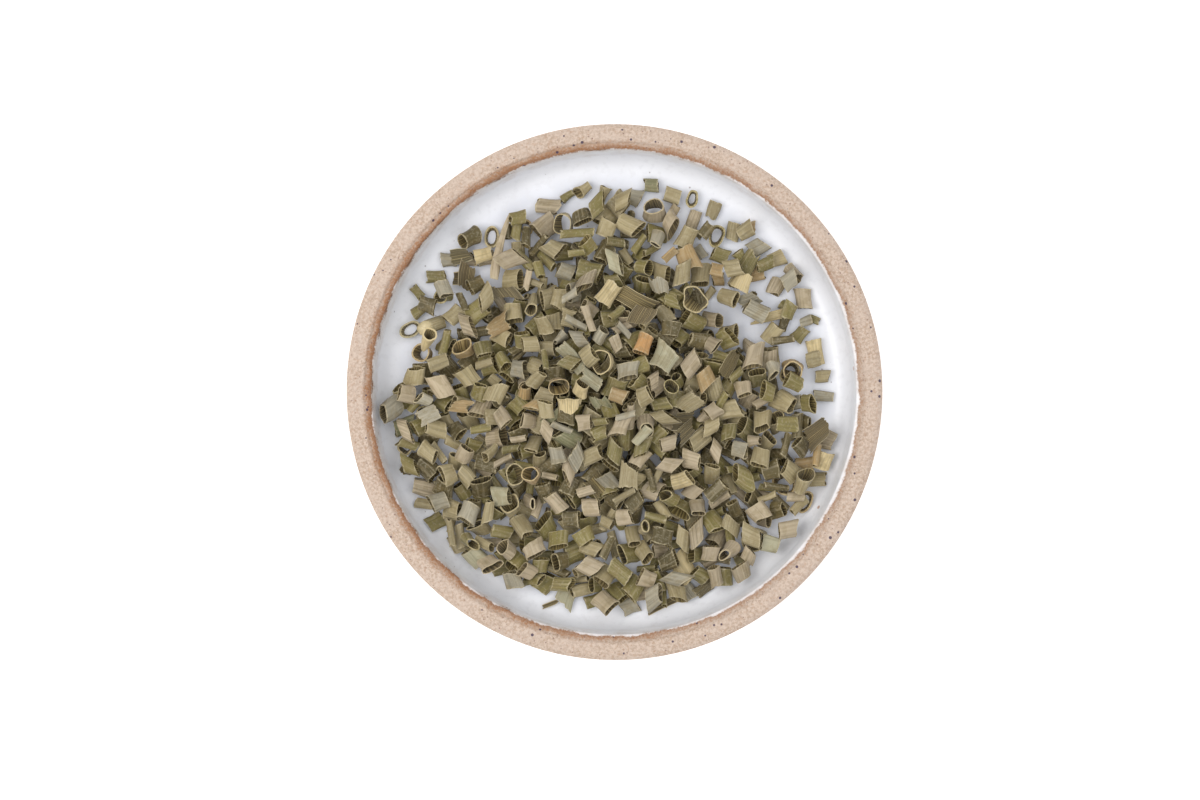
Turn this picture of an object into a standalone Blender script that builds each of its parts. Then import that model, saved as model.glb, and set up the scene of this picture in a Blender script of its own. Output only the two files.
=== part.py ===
"""A small stoneware dish that holds a heap of dried, chopped chives.

Units are metres, +Z is up, and the origin is the centre of the dish's foot on the table.
The dish is one turned piece. The packed heap is one closed mound, and the pieces that lie
apart round its edge are separate hollow cuttings, each with the shape that chopping gives:
pressed tubes, round tubes, rings on their ends, slivers, a trough, a leaf tip and a stalk.
"""

import math

import bmesh
import bpy
from mathutils import Matrix, Vector, noise

MM = 0.001

# The dish, as radii and heights of its turned outline.
RIM_RADIUS = 52.0 * MM
RIM_HEIGHT = 16.0 * MM
RIM_OUTER_ROUND = 1.3 * MM
RIM_FLAT_INNER_RADIUS = 48.6 * MM
GLAZE_LINE_RADIUS = 47.1 * MM
GLAZE_LINE_HEIGHT = 14.5 * MM
BELLY_RADIUS = 51.2 * MM
BELLY_ROUND = 5.0 * MM
FLOOR_HEIGHT = 5.5 * MM
COVE_OUTER_RADIUS = 46.8 * MM
COVE_ROUND = 4.0 * MM
FOOT_OUTER_RADIUS = 43.0 * MM
FOOT_INNER_RADIUS = 38.5 * MM
FOOT_HEIGHT = 1.2 * MM
FOOT_EDGE = 0.4 * MM
DISH_SIDES = 64
ARC_STEPS = 4

# The heap: its outline every 15 degrees from +X, anticlockwise, and its height.
HEAP_OUTLINE_STEP = 15
HEAP_OUTLINE = [
    radius * MM
    for radius in (
        34.5, 27.5, 28.0, 26.5, 26.5, 33.0, 35.5, 34.0, 30.5, 28.5, 32.5, 34.5,
        38.5, 37.5, 40.5, 40.5, 40.5, 40.5, 40.0, 40.5, 40.5, 39.0, 34.0, 39.5,
    )
]  # fmt: skip
HEAP_PEAK = Vector((-1.0 * MM, 4.0 * MM))
HEAP_HEIGHT = 13.5 * MM
HEAP_EDGE_HEIGHT = 2.2 * MM
HEAP_EDGE_SHARE = 0.93
HEAP_SLOPE_POWER = 1.35
HEAP_BUMP = 0.7 * MM
HEAP_BUMP_SPACING = 4.2 * MM
HEAP_RINGS = 11
HEAP_SIDES = 60

# The cuttings. A dried leaf wall is drawn a little thicker than life, so that it is a sound solid.
GAP = 0.3 * MM
LEAF_WALL = 0.35 * MM
TUBE_SIDES = 10
SECTION_POWER = 2.6
PRESSED_HEIGHT_SHARE = 0.55
PRESSED_HEIGHT_MOST = 1.7 * MM
STRIP_SIDES = 6

# Every row lays one cutting by hand. Places and sizes are in millimetres, turns in degrees from +X.
# x, y, turn of its length, width across, length
PRESSED_TUBES = (
    (3.9, 38.4, -12, 3.0, 3.0),
    (7.3, 40.6, -4, 2.8, 2.8),
    (11.4, 38.6, -20, 3.3, 3.2),
    (19.5, 35.8, 70, 2.7, 3.3),
    (23.4, 31.6, 80, 2.8, 3.6),
    (26.5, 32.2, 10, 2.6, 2.5),
    (28.2, 28.6, 30, 3.3, 3.2),
    (17.0, 27.6, -52, 1.9, 2.8),
    (20.9, 26.9, -20, 3.0, 3.3),
    (32.0, 26.2, 20, 3.0, 3.1),
    (31.9, 20.9, 62, 3.1, 3.6),
    (37.2, 18.4, -82, 3.3, 4.0),
    (36.5, 11.4, 48, 2.6, 3.0),
    (39.6, 7.8, -80, 3.0, 5.2),
    (31.0, 7.3, -80, 2.9, 3.4),
    (41.0, 3.1, 3, 2.6, 2.8),
    (41.2, -0.8, -5, 2.2, 4.0),
    (39.3, 14.3, -25, 1.5, 2.2),
    (28.0, 23.3, 15, 2.9, 3.3),
    (23.9, 21.9, 60, 2.3, 2.6),
    (15.6, 34.0, 70, 2.6, 3.6),
    (-13.1, 36.5, -5, 2.9, 4.4),
    (-18.8, 27.7, -85, 2.7, 4.0),
    (-25.2, 26.2, 10, 2.5, 3.2),
    (-32.6, 26.0, 0, 2.6, 2.9),
    (-28.9, 26.2, 0, 2.6, 2.9),
    (-35.0, 22.7, 0, 2.3, 3.8),
    (-38.7, 19.7, -50, 1.7, 2.8),
)
# x, y, turn, width, length, and how far the open end is raised, in degrees
ROUND_TUBES = (
    (-5.9, 39.9, 35, 1.9, 2.8, 0),
    (-9.2, 38.6, 35, 1.6, 2.8, 0),
    (-2.2, 39.0, 70, 1.8, 3.0, 0),
    (-20.9, 31.6, 85, 1.6, 3.0, 0),
    (-28.4, 30.2, 210, 3.2, 3.4, 22),
    (-38.2, 16.1, 35, 2.3, 3.3, 0),
    (33.2, 13.4, 75, 1.9, 3.0, 0),
    (33.6, 16.7, -45, 1.8, 2.4, 0),
    (35.1, 23.4, -50, 2.4, 3.2, 0),
    (25.0, 26.3, -50, 1.9, 3.2, 0),
    (17.1, 31.5, 50, 1.3, 2.6, 0),
    (14.0, 29.8, 60, 2.0, 3.6, 12),
)
# x, y, turn of its longer width, longer width, shorter width, length, and its lean in degrees
STANDING_RINGS = (
    (-17.4, 32.3, -60, 3.4, 2.5, 1.6, 8),
    (-24.1, 30.5, 80, 4.1, 2.8, 1.2, 0),
    (-33.4, 18.9, 10, 3.3, 2.8, 2.6, 35),
    (-40.1, 12.3, 20, 4.0, 3.0, 1.3, 0),
    (-37.5, 7.6, -20, 4.0, 3.2, 2.4, 25),
    (34.6, 3.7, 75, 4.4, 3.7, 1.7, 0),
    (20.1, 30.8, 75, 4.1, 3.1, 1.8, 8),
    (15.3, 38.0, 75, 3.6, 2.3, 1.6, 6),
    (-40.8, -10.4, 55, 3.9, 3.1, 1.8, 6),
    (37.5, -21.6, 65, 4.6, 2.7, 1.2, 0),
    (33.5, -18.2, -30, 4.6, 3.7, 2.2, 14),
)
# x, y, turn, width, length
SLIVERS = (
    (31.9, 10.5, 3, 0.8, 4.2),
    (26.4, 18.3, 25, 2.0, 3.4),
    (-12.6, -41.7, 22, 0.9, 3.0),
    (9.3, -42.0, 24, 1.5, 5.4),
)
TROUGH = (-29.6, 22.5, 5, 3.0, 4.2)
LEAF_TIP_WIDE_END = Vector((-23.4, 22.3)) * MM
LEAF_TIP_POINT = Vector((-20.3, 35.2)) * MM
LEAF_TIP_WIDTH = 2.1 * MM
LEAF_TIP_LIFT = 2.1 * MM
STALK_PLACE = Vector((-35.4, 13.2)) * MM
STALK_TURN = 200
STALK_RAISE = 24
STALK_WIDTH = 3.0 * MM
STALK_LENGTH = 4.0 * MM


def material(name, colour, roughness):
    """A plain Principled BSDF of one colour, for the view of the solids."""
    made = bpy.data.materials.new(name)
    made.use_nodes = True
    shader = made.node_tree.nodes["Principled BSDF"]
    shader.inputs["Base Color"].default_value = (*colour, 1.0)
    shader.inputs["Roughness"].default_value = roughness
    shader.inputs["Metallic"].default_value = 0.0
    return made


def add_object(name, mesh_data, finish):
    """Links a bmesh to the scene as one smooth-shaded object with its own material."""
    bmesh.ops.recalc_face_normals(mesh_data, faces=mesh_data.faces)
    mesh = bpy.data.meshes.new(name)
    mesh_data.to_mesh(mesh)
    mesh_data.free()
    mesh.shade_smooth()
    mesh.set_sharp_from_angle(angle=math.radians(35))
    mesh.materials.append(finish)
    made = bpy.data.objects.new(name, mesh)
    bpy.context.scene.collection.objects.link(made)
    return made


def arc(centre, radius, start_degrees, end_degrees, steps=ARC_STEPS):
    """Points of a circular arc in the (radius, height) plane of a turned outline."""
    points = []
    for step in range(steps + 1):
        angle = math.radians(start_degrees + (end_degrees - start_degrees) * step / steps)
        points.append((centre[0] + radius * math.cos(angle), centre[1] + radius * math.sin(angle)))
    return points


def dish_outline():
    """The dish's section from the middle of the underside, round the rim, to the middle of the floor."""
    rim_corner = (RIM_RADIUS - RIM_OUTER_ROUND, RIM_HEIGHT - RIM_OUTER_ROUND)
    belly = (BELLY_RADIUS - BELLY_ROUND, FOOT_HEIGHT + BELLY_ROUND)
    cove = (COVE_OUTER_RADIUS - COVE_ROUND, FLOOR_HEIGHT + COVE_ROUND)
    underside = [
        (0.0, FOOT_HEIGHT),
        (FOOT_INNER_RADIUS - FOOT_EDGE, FOOT_HEIGHT),
        (FOOT_INNER_RADIUS, 0.0),
        (FOOT_OUTER_RADIUS, 0.0),
        (FOOT_OUTER_RADIUS + FOOT_EDGE, FOOT_EDGE),
        (FOOT_OUTER_RADIUS + FOOT_EDGE, FOOT_HEIGHT),
    ]
    outside = arc(belly, BELLY_ROUND, -90, -4)
    rim = arc(rim_corner, RIM_OUTER_ROUND, 0, 90)
    inside_edge = [
        (RIM_FLAT_INNER_RADIUS, RIM_HEIGHT - 0.1 * MM),
        (GLAZE_LINE_RADIUS, GLAZE_LINE_HEIGHT),
    ]
    inside = arc(cove, COVE_ROUND, 0, -90)
    return underside + outside + rim + inside_edge + inside + [(0.0, FLOOR_HEIGHT)]


def inside_height(radius):
    """Height of the dish's inner surface at a distance from its axis, up to the top of the cove."""
    run = radius - (COVE_OUTER_RADIUS - COVE_ROUND)
    if run <= 0:
        return FLOOR_HEIGHT
    run = min(run, COVE_ROUND)
    return FLOOR_HEIGHT + COVE_ROUND - math.sqrt(COVE_ROUND**2 - run**2)


def build_dish(finish):
    """The turned dish: its outline spun once round the upright axis."""
    dish = bmesh.new()
    points = [dish.verts.new((radius, 0.0, height)) for radius, height in dish_outline()]
    edges = [dish.edges.new(pair) for pair in zip(points, points[1:])]
    bmesh.ops.spin(
        dish,
        geom=points + edges,
        axis=(0, 0, 1),
        cent=(0, 0, 0),
        angle=math.tau,
        steps=DISH_SIDES,
        use_merge=True,
    )
    bmesh.ops.remove_doubles(dish, verts=dish.verts, dist=0.001 * MM)
    return add_object("stoneware_dish", dish, finish)


def heap_radius(bearing):
    """The outline's radius at a bearing in degrees, eased between its hand-set stations."""
    place = (bearing % 360) / HEAP_OUTLINE_STEP
    first = int(place)
    share = place - first
    share = share * share * (3 - 2 * share)
    start = HEAP_OUTLINE[first]
    end = HEAP_OUTLINE[(first + 1) % len(HEAP_OUTLINE)]
    return start + (end - start) * share


def heap_top(x, y, share):
    """Height of the mound's top: a rounded cone with a low step at its edge and lumps the size of cuttings."""
    rise = (1 - share**HEAP_SLOPE_POWER) * (HEAP_HEIGHT - HEAP_EDGE_HEIGHT)
    lump = noise.noise(Vector((x, y, 0.0)) / HEAP_BUMP_SPACING) * HEAP_BUMP * min(1.0, 4 * (1 - share))
    return FLOOR_HEIGHT + GAP + HEAP_EDGE_HEIGHT + rise + lump


def heap_place(side, share):
    """A place on the mound, whose rings are round near the peak and take on the outline at the edge."""
    bearing = math.tau * side / HEAP_SIDES
    mean_radius = sum(HEAP_OUTLINE) / len(HEAP_OUTLINE)
    reach = mean_radius + (heap_radius(math.degrees(bearing)) - mean_radius) * share
    edge = Vector((math.cos(bearing), math.sin(bearing))) * reach
    return HEAP_PEAK.lerp(edge, share)


def build_heap(finish):
    """The packed middle of the heap, as one mound with a flat underside on the dish's floor."""
    heap = bmesh.new()
    base = FLOOR_HEIGHT + GAP
    rings = []
    for number in range(1, HEAP_RINGS + 1):
        share = HEAP_EDGE_SHARE * number / HEAP_RINGS
        places = [heap_place(side, share) for side in range(HEAP_SIDES)]
        rings.append([heap.verts.new((*place, heap_top(*place, share))) for place in places])
    for height in (base + HEAP_EDGE_HEIGHT / 2, base):
        places = [heap_place(side, 1.0) for side in range(HEAP_SIDES)]
        rings.append([heap.verts.new((*place, height)) for place in places])
    peak = heap.verts.new((*HEAP_PEAK, heap_top(*HEAP_PEAK, 0.0)))
    middle = heap.verts.new((0.0, 0.0, base))
    for side in range(HEAP_SIDES):
        following = (side + 1) % HEAP_SIDES
        heap.faces.new((peak, rings[0][side], rings[0][following]))
        heap.faces.new((middle, rings[-1][following], rings[-1][side]))
        for inner, outer in zip(rings, rings[1:]):
            heap.faces.new((inner[side], outer[side], outer[following], inner[following]))
    return add_object("chive_heap", heap, finish)


def section(width, height, sides, power=SECTION_POWER):
    """Points of a rounded, slightly squared oval: a superellipse of that width and height."""
    points = []
    for side in range(sides):
        angle = math.tau * (side + 0.5) / sides
        across = math.copysign(abs(math.cos(angle)) ** (2 / power), math.cos(angle))
        upward = math.copysign(abs(math.sin(angle)) ** (2 / power), math.sin(angle))
        points.append((across * width / 2, upward * height / 2))
    return points


def tube(width, height, length):
    """A hollow cutting along X: an outer and an inner oval band joined at both cut ends."""
    shape = bmesh.new()
    outer = section(width, height, TUBE_SIDES)
    inner = section(width - 2 * LEAF_WALL, height - 2 * LEAF_WALL, TUBE_SIDES)
    loops = []
    for outline, along in ((outer, 0.5), (outer, -0.5), (inner, -0.5), (inner, 0.5)):
        loops.append([shape.verts.new((along * length, y, z)) for y, z in outline])
    for loop, following in zip(loops, loops[1:] + loops[:1]):
        for side in range(TUBE_SIDES):
            after = (side + 1) % TUBE_SIDES
            shape.faces.new((loop[side], loop[after], following[after], following[side]))
    return shape


def strip(width, length, bend_degrees):
    """A cutting torn open along its side: a thin curved strip along X, hollow side up."""
    shape = bmesh.new()
    bend = math.radians(bend_degrees)
    radius = width / bend
    ends = []
    for along in (-0.5, 0.5):
        outline = []
        for offset, order in ((0.0, 1), (LEAF_WALL, -1)):
            for side in range(STRIP_SIDES + 1)[::order]:
                angle = bend * (side / STRIP_SIDES - 0.5)
                reach = radius - offset
                outline.append((along * length, reach * math.sin(angle), radius - reach * math.cos(angle)))
        ends.append([shape.verts.new(point) for point in outline])
    for side in range(len(ends[0])):
        after = (side + 1) % len(ends[0])
        shape.faces.new((ends[0][side], ends[0][after], ends[1][after], ends[1][side]))
    shape.faces.new(ends[0][::-1])
    shape.faces.new(ends[1])
    return shape


def lay(name, shape, place, turn, finish, raise_degrees=0.0, level=0.0):
    """Turns a cutting, sets it over its place and lowers it until it all but rests on the dish."""
    pose = Matrix.Rotation(math.radians(turn), 4, "Z") @ Matrix.Rotation(-math.radians(raise_degrees), 4, "Y")
    bmesh.ops.transform(shape, matrix=pose, verts=shape.verts)
    bmesh.ops.translate(shape, vec=(*place, 0.0), verts=shape.verts)
    room = min(vert.co.z - inside_height(vert.co.xy.length) for vert in shape.verts)
    made = add_object(name, shape, finish)
    made.location.z = GAP + level - room
    return made


def build_tubes(finish):
    """The cuttings that lie on their sides, pressed flat or still round."""
    for number, (x, y, turn, width, length) in enumerate(PRESSED_TUBES, start=1):
        height = min(PRESSED_HEIGHT_SHARE * width * MM, PRESSED_HEIGHT_MOST)
        shape = tube(width * MM, height, length * MM)
        lay(f"pressed_tube_{number:02d}", shape, (x * MM, y * MM), turn, finish)
    for number, (x, y, turn, width, length, raised) in enumerate(ROUND_TUBES, start=1):
        shape = tube(width * MM, width * MM, length * MM)
        lay(f"round_tube_{number:02d}", shape, (x * MM, y * MM), turn, finish, raised)


def build_rings(finish):
    """The short cuttings that stand on a cut end, leaning or upright."""
    for number, row in enumerate(STANDING_RINGS, start=1):
        x, y, turn, longer, shorter, length, lean = row
        shape = tube(longer * MM, shorter * MM, length * MM)
        upright = Matrix.Rotation(math.radians(90), 4, "Z") @ Matrix.Rotation(math.radians(90), 4, "Y")
        bmesh.ops.transform(shape, matrix=upright, verts=shape.verts)
        lay(f"standing_ring_{number:02d}", shape, (x * MM, y * MM), turn, finish, lean)


def build_strips(finish):
    """The slivers, and the one wide cutting that has opened into a trough."""
    for number, (x, y, turn, width, length) in enumerate(SLIVERS, start=1):
        lay(f"sliver_{number:02d}", strip(width * MM, length * MM, 60), (x * MM, y * MM), turn, finish)
    x, y, turn, width, length = TROUGH
    lay("split_trough", strip(1.3 * width * MM, length * MM, 150), (x * MM, y * MM), turn, finish)


def build_leaf_tip(finish):
    """The one long piece: a rolled leaf end that tapers to a point, lying across its neighbours."""
    run = LEAF_TIP_POINT - LEAF_TIP_WIDE_END
    shape = bmesh.new()
    stations = ((0.0, 0.75), (0.12, 1.0), (0.5, 0.85), (0.85, 0.4))
    loops = []
    for along, size in stations:
        outline = section(LEAF_TIP_WIDTH * size, LEAF_TIP_WIDTH * size * PRESSED_HEIGHT_SHARE, TUBE_SIDES)
        loops.append([shape.verts.new(((along - 0.5) * run.length, y, z)) for y, z in outline])
    point = shape.verts.new((run.length / 2, 0.0, 0.0))
    for loop, following in zip(loops, loops[1:]):
        for side in range(TUBE_SIDES):
            after = (side + 1) % TUBE_SIDES
            shape.faces.new((loop[side], loop[after], following[after], following[side]))
    for side in range(TUBE_SIDES):
        shape.faces.new((loops[-1][side], loops[-1][(side + 1) % TUBE_SIDES], point))
    shape.faces.new(loops[0][::-1])
    middle = LEAF_TIP_WIDE_END.lerp(LEAF_TIP_POINT, 0.5)
    turn = math.degrees(math.atan2(run.y, run.x))
    lay("leaf_tip", shape, middle, turn, finish, level=LEAF_TIP_LIFT)


def build_stalk(finish):
    """A slice of the flower stalk, which is solid with pale pith, unlike the hollow leaves."""
    shape = bmesh.new()
    ends = []
    for along in (-0.5, 0.5):
        outline = section(STALK_WIDTH, STALK_WIDTH * 0.92, TUBE_SIDES, power=2.0)
        ends.append([shape.verts.new((along * STALK_LENGTH, y, z)) for y, z in outline])
    for side in range(TUBE_SIDES):
        after = (side + 1) % TUBE_SIDES
        shape.faces.new((ends[0][side], ends[0][after], ends[1][after], ends[1][side]))
    shape.faces.new(ends[0][::-1])
    shape.faces.new(ends[1])
    lay("stalk_slice", shape, STALK_PLACE, STALK_TURN, finish, STALK_RAISE)


def main():
    for leftover in list(bpy.data.objects):
        bpy.data.objects.remove(leftover)
    build_dish(material("glazed_stoneware", (0.74, 0.71, 0.68), 0.4))
    build_heap(material("chopped_chives", (0.23, 0.19, 0.11), 0.75))
    build_tubes(material("chive_leaf", (0.27, 0.23, 0.14), 0.7))
    build_rings(material("chive_leaf_olive", (0.22, 0.19, 0.08), 0.7))
    build_strips(material("chive_leaf_straw", (0.42, 0.34, 0.18), 0.75))
    build_leaf_tip(material("chive_leaf_tip", (0.38, 0.31, 0.18), 0.75))
    build_stalk(material("chive_stalk", (0.2, 0.17, 0.08), 0.7))


main()
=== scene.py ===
# %% [markdown]
# # A dish of dried, chopped chives
#
# The object is a small stoneware dish with a raw clay rim and a white glaze inside. It holds a heap
# of dried chives: hollow leaves, chopped into short cuttings, each a thin-walled tube that lies on
# the ones below it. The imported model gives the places, and this script adds the fine surfaces.

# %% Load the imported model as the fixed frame
import math

import bpy
import numpy as np
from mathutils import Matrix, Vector
from mathutils.bvhtree import BVHTree


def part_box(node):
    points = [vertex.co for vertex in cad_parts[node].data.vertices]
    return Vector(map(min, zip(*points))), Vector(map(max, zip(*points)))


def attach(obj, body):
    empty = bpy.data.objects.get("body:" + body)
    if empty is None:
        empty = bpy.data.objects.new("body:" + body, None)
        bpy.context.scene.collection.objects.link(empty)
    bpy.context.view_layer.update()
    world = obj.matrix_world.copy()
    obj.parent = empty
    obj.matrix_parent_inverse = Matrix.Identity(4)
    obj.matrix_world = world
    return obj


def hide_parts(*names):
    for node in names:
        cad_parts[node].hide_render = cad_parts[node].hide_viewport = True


MM = 0.001
BODY = "root"
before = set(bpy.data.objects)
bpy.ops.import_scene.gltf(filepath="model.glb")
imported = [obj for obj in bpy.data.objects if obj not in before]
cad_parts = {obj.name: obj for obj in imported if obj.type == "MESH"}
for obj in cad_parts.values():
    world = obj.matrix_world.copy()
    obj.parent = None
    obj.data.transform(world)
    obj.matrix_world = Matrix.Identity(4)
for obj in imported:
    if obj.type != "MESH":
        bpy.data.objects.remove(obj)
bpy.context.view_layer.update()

# %% [markdown]
# ## The camera
#
# It hangs straight above the dish with a long lens, so that the dish's sides hardly show, and a few
# millimetres off the axis, which puts the dish slightly right of the middle.

# %% Hang the camera over the dish
SENSOR_WIDTH = 36.0
LENS = 85.0
FRAME_WIDTH_AT_RIM = 232.1 * MM
DISH_OFF_CENTRE = Vector((2.8, 1.55)) * MM
rim_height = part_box("stoneware_dish")[1].z


def hang_camera():
    """Places the camera on a plumb line, at the height that gives the frame its width at the rim."""
    data = bpy.data.cameras.new("overhead_camera")
    data.sensor_width = SENSOR_WIDTH
    data.lens = LENS
    camera = bpy.data.objects.new("overhead_camera", data)
    distance = FRAME_WIDTH_AT_RIM * LENS / SENSOR_WIDTH
    camera.location = (-DISH_OFF_CENTRE.x, -DISH_OFF_CENTRE.y, rim_height + distance)
    bpy.context.scene.collection.objects.link(camera)
    bpy.context.scene.camera = camera
    return distance


print("camera hangs", round(hang_camera(), 3), "m above the rim")

# %% [markdown]
# ## The studio
#
# A soft light from the left gives each cutting a bright and a shaded side, a wider one overhead
# fills the bores, and a light grey surround does the rest.

# %% Light the table
SOFTBOXES = {
    "key_softbox": {"place": (-0.40, 0.0, 0.59), "side": 0.4, "power": 2.0, "colour": (1.0, 0.975, 0.94)},
    "top_softbox": {"place": (0.24, 0.06, 1.0), "side": 1.7, "power": 6.2, "colour": (0.96, 0.98, 1.0)},
}
SURROUND = (0.83, 0.83, 0.84, 1.0)
SURROUND_STRENGTH = 0.80


def light_studio():
    """The softboxes, which all face the dish, the surround and a plain display transform."""
    for name, softbox in SOFTBOXES.items():
        data = bpy.data.lights.new(name, "AREA")
        data.size = softbox["side"]
        data.energy = softbox["power"]
        data.color = softbox["colour"]
        lamp = bpy.data.objects.new(name, data)
        lamp.location = softbox["place"]
        lamp.rotation_euler = Vector(softbox["place"]).to_track_quat("Z", "Y").to_euler()
        bpy.context.scene.collection.objects.link(lamp)
    world = bpy.data.worlds.new("surround")
    world.use_nodes = True
    background = world.node_tree.nodes["Background"]
    background.inputs["Color"].default_value = SURROUND
    background.inputs["Strength"].default_value = SURROUND_STRENGTH
    bpy.context.scene.world = world
    bpy.context.scene.view_settings.view_transform = "Standard"


light_studio()
print(len(SOFTBOXES), "softboxes and a pale surround")

# %% [markdown]
# ## A small language for materials
#
# A finish is mostly arithmetic: a speck is where a distance falls below a size, and a rib is a wave
# across the leaf. `Value` wraps a node's output, so that such arithmetic is written in Python, and
# `Finish` holds one material and makes its nodes.


# %% Wrap a socket so that Python can calculate with it
class Value:
    """A number that differs over a surface: the output socket of one node."""

    def __init__(self, finish, socket):
        self.finish = finish
        self.socket = socket

    def math(self, operation, *others):
        """Adds one Math node, whose first input is this value."""
        return self.finish.node("Math", {"operation": operation}, dict(enumerate((self, *others))))

    def __add__(self, other):
        return self.math("ADD", other)

    def __sub__(self, other):
        return self.math("SUBTRACT", other)

    def __mul__(self, other):
        return self.math("MULTIPLY", other)

    def __rsub__(self, other):
        return self * -1.0 + other

    __radd__ = __add__

    def ramp(self, low, high):
        """0 where the value is low, 1 where it is high, and a smooth step between."""
        settings = {"interpolation_type": "SMOOTHSTEP"}
        return self.finish.node("MapRange", settings, {"Value": self, "From Min": low, "From Max": high})


class Finish:
    """One material: a Principled shader and the nodes that feed it."""

    def __init__(self, name, **constants):
        self.material = bpy.data.materials.new(name)
        self.material.use_nodes = True
        self.nodes = self.material.node_tree.nodes
        self.shader = self.nodes["Principled BSDF"]
        for socket, value in constants.items():
            self.shader.inputs[socket.replace("_", " ")].default_value = value

    def node(self, kind, settings, inputs, output=0):
        """Adds a node, sets and feeds it, and returns one of its outputs."""
        made = self.nodes.new("ShaderNode" + kind)
        for name, value in settings.items():
            setattr(made, name, value)
        for name, value in inputs.items():
            self.feed(made.inputs[name], value)
        return Value(self, made.outputs[output])

    def feed(self, socket, value):
        """Links a value to a socket, or sets the socket to a plain number or colour."""
        if isinstance(value, Value):
            self.material.node_tree.links.new(value.socket, socket)
        elif isinstance(value, tuple) and socket.type == "RGBA":
            socket.default_value = (*value, 1.0)
        else:
            socket.default_value = value

    def coats(self, colour, *coats):
        """A colour under thin coats, each with the share by which it hides what lies below."""
        for coat, share in coats:
            colour = self.node("Mix", {"data_type": "RGBA"}, {0: share, 6: colour, 7: coat}, output=2)
        return colour

    def noise(self, vector, scale, detail=3.0, roughness=0.5):
        """Cloudy noise; scale counts its lumps in one unit of the vector."""
        inputs = {"Vector": vector, "Scale": scale, "Detail": detail, "Roughness": roughness}
        return self.node("TexNoise", {}, inputs)

    def shift(self, vector, offset):
        """The vector moved by an offset."""
        return self.node("VectorMath", {"operation": "ADD"}, {0: vector, 1: offset})

    def part(self, vector, axis):
        """One of the three numbers of a vector."""
        return self.node("SeparateXYZ", {}, {0: vector}, output=axis)

    def read(self, name, output=2):
        """What the mesh stores under that name: a number, or with output 0 a colour."""
        return self.node("Attribute", {"attribute_name": name}, {}, output)

    def bump(self, height):
        """Feeds the shader's normal with a height in millimetres."""
        self.feed(self.shader.inputs["Normal"], self.node("Bump", {}, {"Height": height, "Distance": MM}))


print("material language ready")

# %% [markdown]
# ## A small language for surfaces
#
# Every new piece is a grid of points, worked out as one array. Its faces follow from the grid's size
# alone, so one function serves the dish and all the cuttings.


# %% Turn a grid of points into a mesh
def grid_quads(rows, columns, wrap_rows, wrap_columns):
    """Corner numbers of the quads between neighbouring rows and columns, which may close on themselves."""
    row = np.arange(rows if wrap_rows else rows - 1)[:, None]
    column = np.arange(columns if wrap_columns else columns - 1)[None, :]
    next_row = (row + 1) % rows
    next_column = (column + 1) % columns
    corners = [(row, column), (next_row, column), (next_row, next_column), (row, next_column)]
    return np.stack([a * columns + b for a, b in corners], axis=-1).reshape(-1, 4)


def mesh_object(name, points, quads, triangles, finish):
    """A smooth mesh object at the origin, made of quads and triangles, that rides on the dish."""
    mesh = bpy.data.meshes.new(name)
    corners = np.concatenate([quads.ravel(), triangles.ravel()]).astype(np.int32)
    starts = np.concatenate([np.arange(len(quads)) * 4, quads.size + np.arange(len(triangles)) * 3])
    mesh.vertices.add(len(points))
    mesh.vertices.foreach_set("co", points.astype(np.float32).ravel())
    mesh.loops.add(len(corners))
    mesh.loops.foreach_set("vertex_index", corners)
    mesh.polygons.add(len(starts))
    mesh.polygons.foreach_set("loop_start", starts.astype(np.int32))
    mesh.update(calc_edges=True)
    mesh.shade_smooth()
    mesh.materials.append(finish.material)
    made = bpy.data.objects.new(name, mesh)
    bpy.context.scene.collection.objects.link(made)
    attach(made, BODY)
    return made


NO_TRIANGLES = np.zeros((0, 3), int)
print("surface language ready")

# %% [markdown]
# ## The stoneware dish
#
# One outline is spun round the upright axis. It runs from the middle of the underside over the foot
# ring, up the outside, over the flat rim and down the glazed inside. The potter's hand leaves a slow
# wander and throwing rings, and the glaze is a layer of its own with a soft raised edge.

# %% Measure the dish
dish_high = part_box("stoneware_dish")[1]
RIM_RADIUS = dish_high.x / MM
RIM_HEIGHT = dish_high.z / MM
RIM_OUTER_ROUND = 1.3
RIM_INNER_ROUND = 0.7
RIM_INNER_CENTRE = (49.0, RIM_HEIGHT - 0.75)
GLAZE_EDGE_RADIUS = 47.1
GLAZE_EDGE_HEIGHT = RIM_HEIGHT - 1.4
GLAZE_THICKNESS = 0.22
GLAZE_SWELL = 0.5
BELLY_RADIUS = 51.2
BELLY_ROUND = 5.0
FLOOR_HEIGHT = 5.5
INSIDE_ABOVE = 4
COVE_OUTER_RADIUS = 46.8
COVE_ROUND = 4.0
FOOT_OUTER_RADIUS = 43.0
FOOT_INNER_RADIUS = 38.5
FOOT_HEIGHT = 1.2
FOOT_EDGE = 0.4
COARSE_STEP = 0.75
FINE_STEP = 0.2
FINE_BELOW_EDGE = 1.6
print("dish is", round(2 * RIM_RADIUS, 1), "mm across and", round(RIM_HEIGHT, 1), "mm high")


# %% Draw the dish's outline
def arc(centre, radius, start, end):
    """Points of an arc in the (radius, height) plane, from one angle in degrees to another."""
    angles = np.radians(np.linspace(start, end, 13))
    return np.stack([centre[0] + radius * np.cos(angles), centre[1] + radius * np.sin(angles)], axis=-1)


def even_steps(corners, step):
    """The same outline with its points at even steps along it."""
    gaps = np.linalg.norm(np.diff(corners, axis=0), axis=1)
    along = np.concatenate([[0.0], np.cumsum(gaps)])
    stations = np.linspace(0.0, along[-1], int(along[-1] / step))
    return np.stack([np.interp(stations, along, corners[:, axis]) for axis in (0, 1)], axis=-1)


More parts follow.
